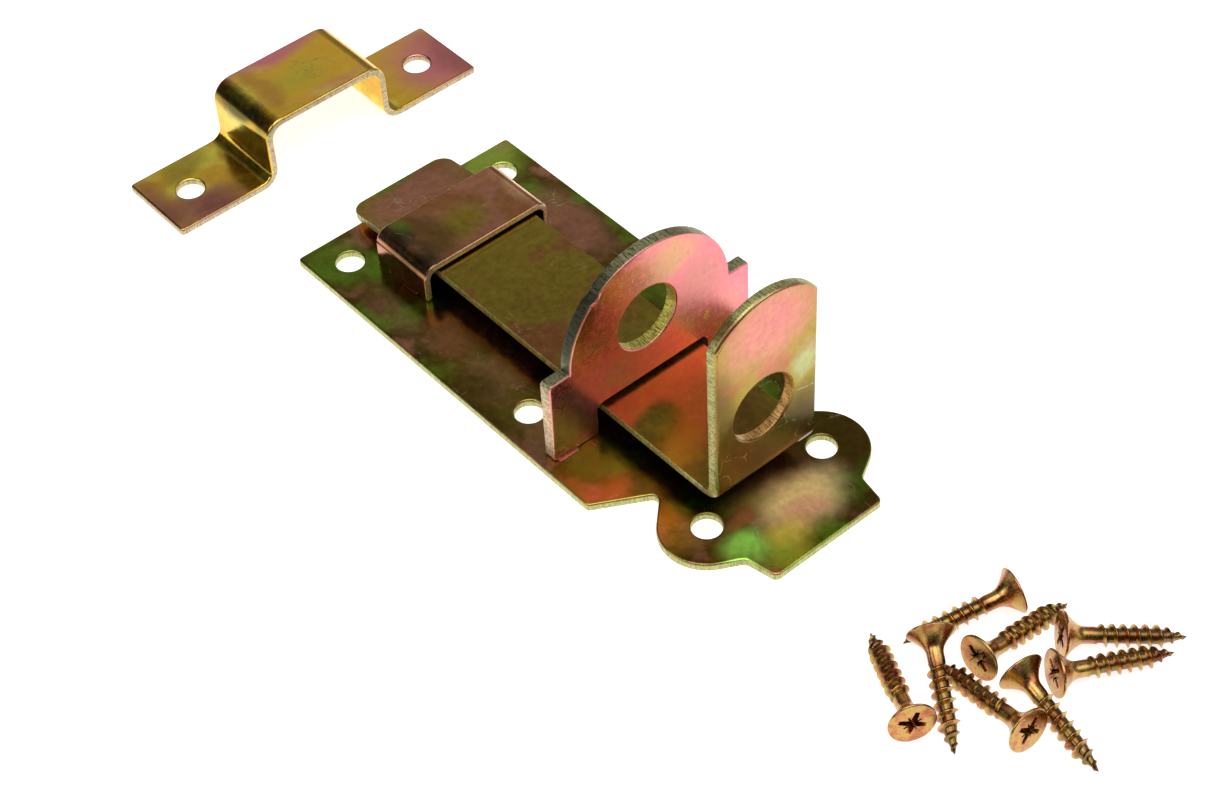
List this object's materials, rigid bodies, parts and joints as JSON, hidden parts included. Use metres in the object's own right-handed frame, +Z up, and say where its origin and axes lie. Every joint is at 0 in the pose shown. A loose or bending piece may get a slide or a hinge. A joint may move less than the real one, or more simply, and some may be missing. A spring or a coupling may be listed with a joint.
{
  "type": "padlockable slide bolt latch",
  "caption": "Flat slide bolt in a bridge on a mounting plate, with an upright padlock staple, a turned-up lug, an arched keeper and loose wood screws.",
  "frame": {"origin": "middle of the four mounting holes of the plate's wide end, on the plate's underside", "axes": "+X along the bolt towards its turned-up lug, +Y across the plate, +Z up off the door"},
  "size_m": [0.2165, 0.071, 0.046],
  "materials": {
    "plate_zinc": "iridescent yellow chromate over zinc plating, satin",
    "bridge_zinc": "iridescent yellow chromate over zinc plating, satin",
    "staple_zinc": "iridescent yellow chromate over zinc plating, satin",
    "bolt_zinc": "iridescent yellow chromate over zinc plating, satin",
    "keeper_zinc": "iridescent yellow chromate over zinc plating, satin",
    "screw_zinc": "bright yellow chromate over zinc plating"
  },
  "bodies": {
    "base": {"mounting_plate": "plate_zinc", "guide_bridge": "bridge_zinc", "padlock_staple": "staple_zinc", "keeper": "keeper_zinc", "screw_1": "screw_zinc", "screw_2": "screw_zinc", "screw_3": "screw_zinc", "screw_4": "screw_zinc", "screw_5": "screw_zinc", "screw_6": "screw_zinc", "screw_7": "screw_zinc", "screw_8": "screw_zinc"},
    "bolt": {"slide_bolt": "bolt_zinc"}
  },
  "joints": [
    {"name": "bolt_slide", "type": "slide", "parent": "base", "child": "bolt", "axis": [-1, 0, 0], "range_m": [0, 0.0263]}
  ]
}
